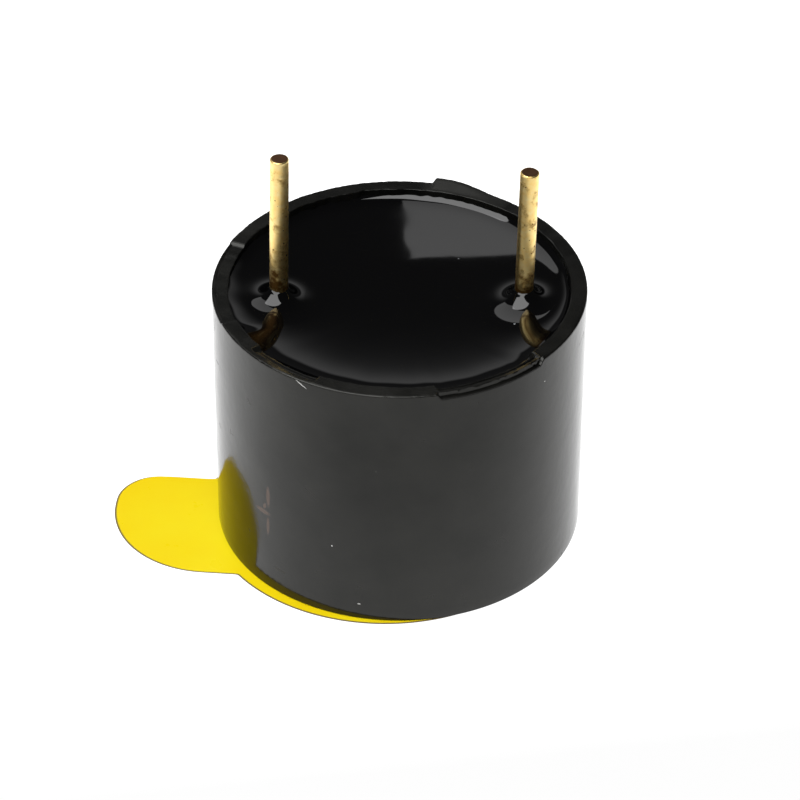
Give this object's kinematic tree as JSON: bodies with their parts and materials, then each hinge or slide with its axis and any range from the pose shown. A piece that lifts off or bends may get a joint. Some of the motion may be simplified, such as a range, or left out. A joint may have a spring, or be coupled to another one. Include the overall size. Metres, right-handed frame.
{
  "type": "magnetic buzzer",
  "caption": "Round black through-hole magnetic buzzer with a potted back, gold-plated pins and a yellow peel-off label over the sound hole.",
  "frame": {"origin": "centre of the case on the plane that it stands on, the underside of the label", "axes": "+Z from the sound face to the pins; +X from the longer pin to the shorter one, so the peel tab points to -X"},
  "size_m": [0.0154, 0.0121, 0.0138],
  "materials": {
    "case_plastic": "moulded black, glossy",
    "label_film": "translucent yellow film",
    "epoxy": "cast black resin, high gloss",
    "gold_plated_brass": "thin gold plate, tarnished in spots",
    "spring_steel": "rolled",
    "soft_iron": "turned",
    "brass": "turned",
    "ferrite": "sintered, dull",
    "plated_steel": "nickel plated",
    "nylon": "moulded, natural",
    "enamelled_copper": "enamelled wire, wound",
    "laminate": "resin-bonded laminate",
    "tinned_copper": "tinned",
    "chip_plastic": "moulded, matt",
    "chip_ceramic": "coated",
    "solder": "reflowed"
  },
  "bodies": {
    "root": {"case": "case_plastic", "sealing_label": "label_film", "potting_epoxy": "epoxy", "terminal_pin_left": "gold_plated_brass", "terminal_pin_right": "gold_plated_brass", "diaphragm": "spring_steel", "armature_disc": "soft_iron", "support_ring": "brass", "ring_magnet": "ferrite", "yoke_plate": "plated_steel", "pole_core": "soft_iron", "coil_bobbin": "nylon", "drive_coil": "enamelled_copper", "sense_coil": "enamelled_copper", "coil_lead_supply": "enamelled_copper", "coil_lead_drive": "enamelled_copper", "coil_lead_sense": "enamelled_copper", "circuit_board": "laminate", "copper_pads": "tinned_copper", "transistor": "chip_plastic", "base_resistor": "chip_ceramic", "solder_leads": "solder", "solder_pin_left": "solder", "solder_pin_right": "solder"}
  },
  "joints": []
}
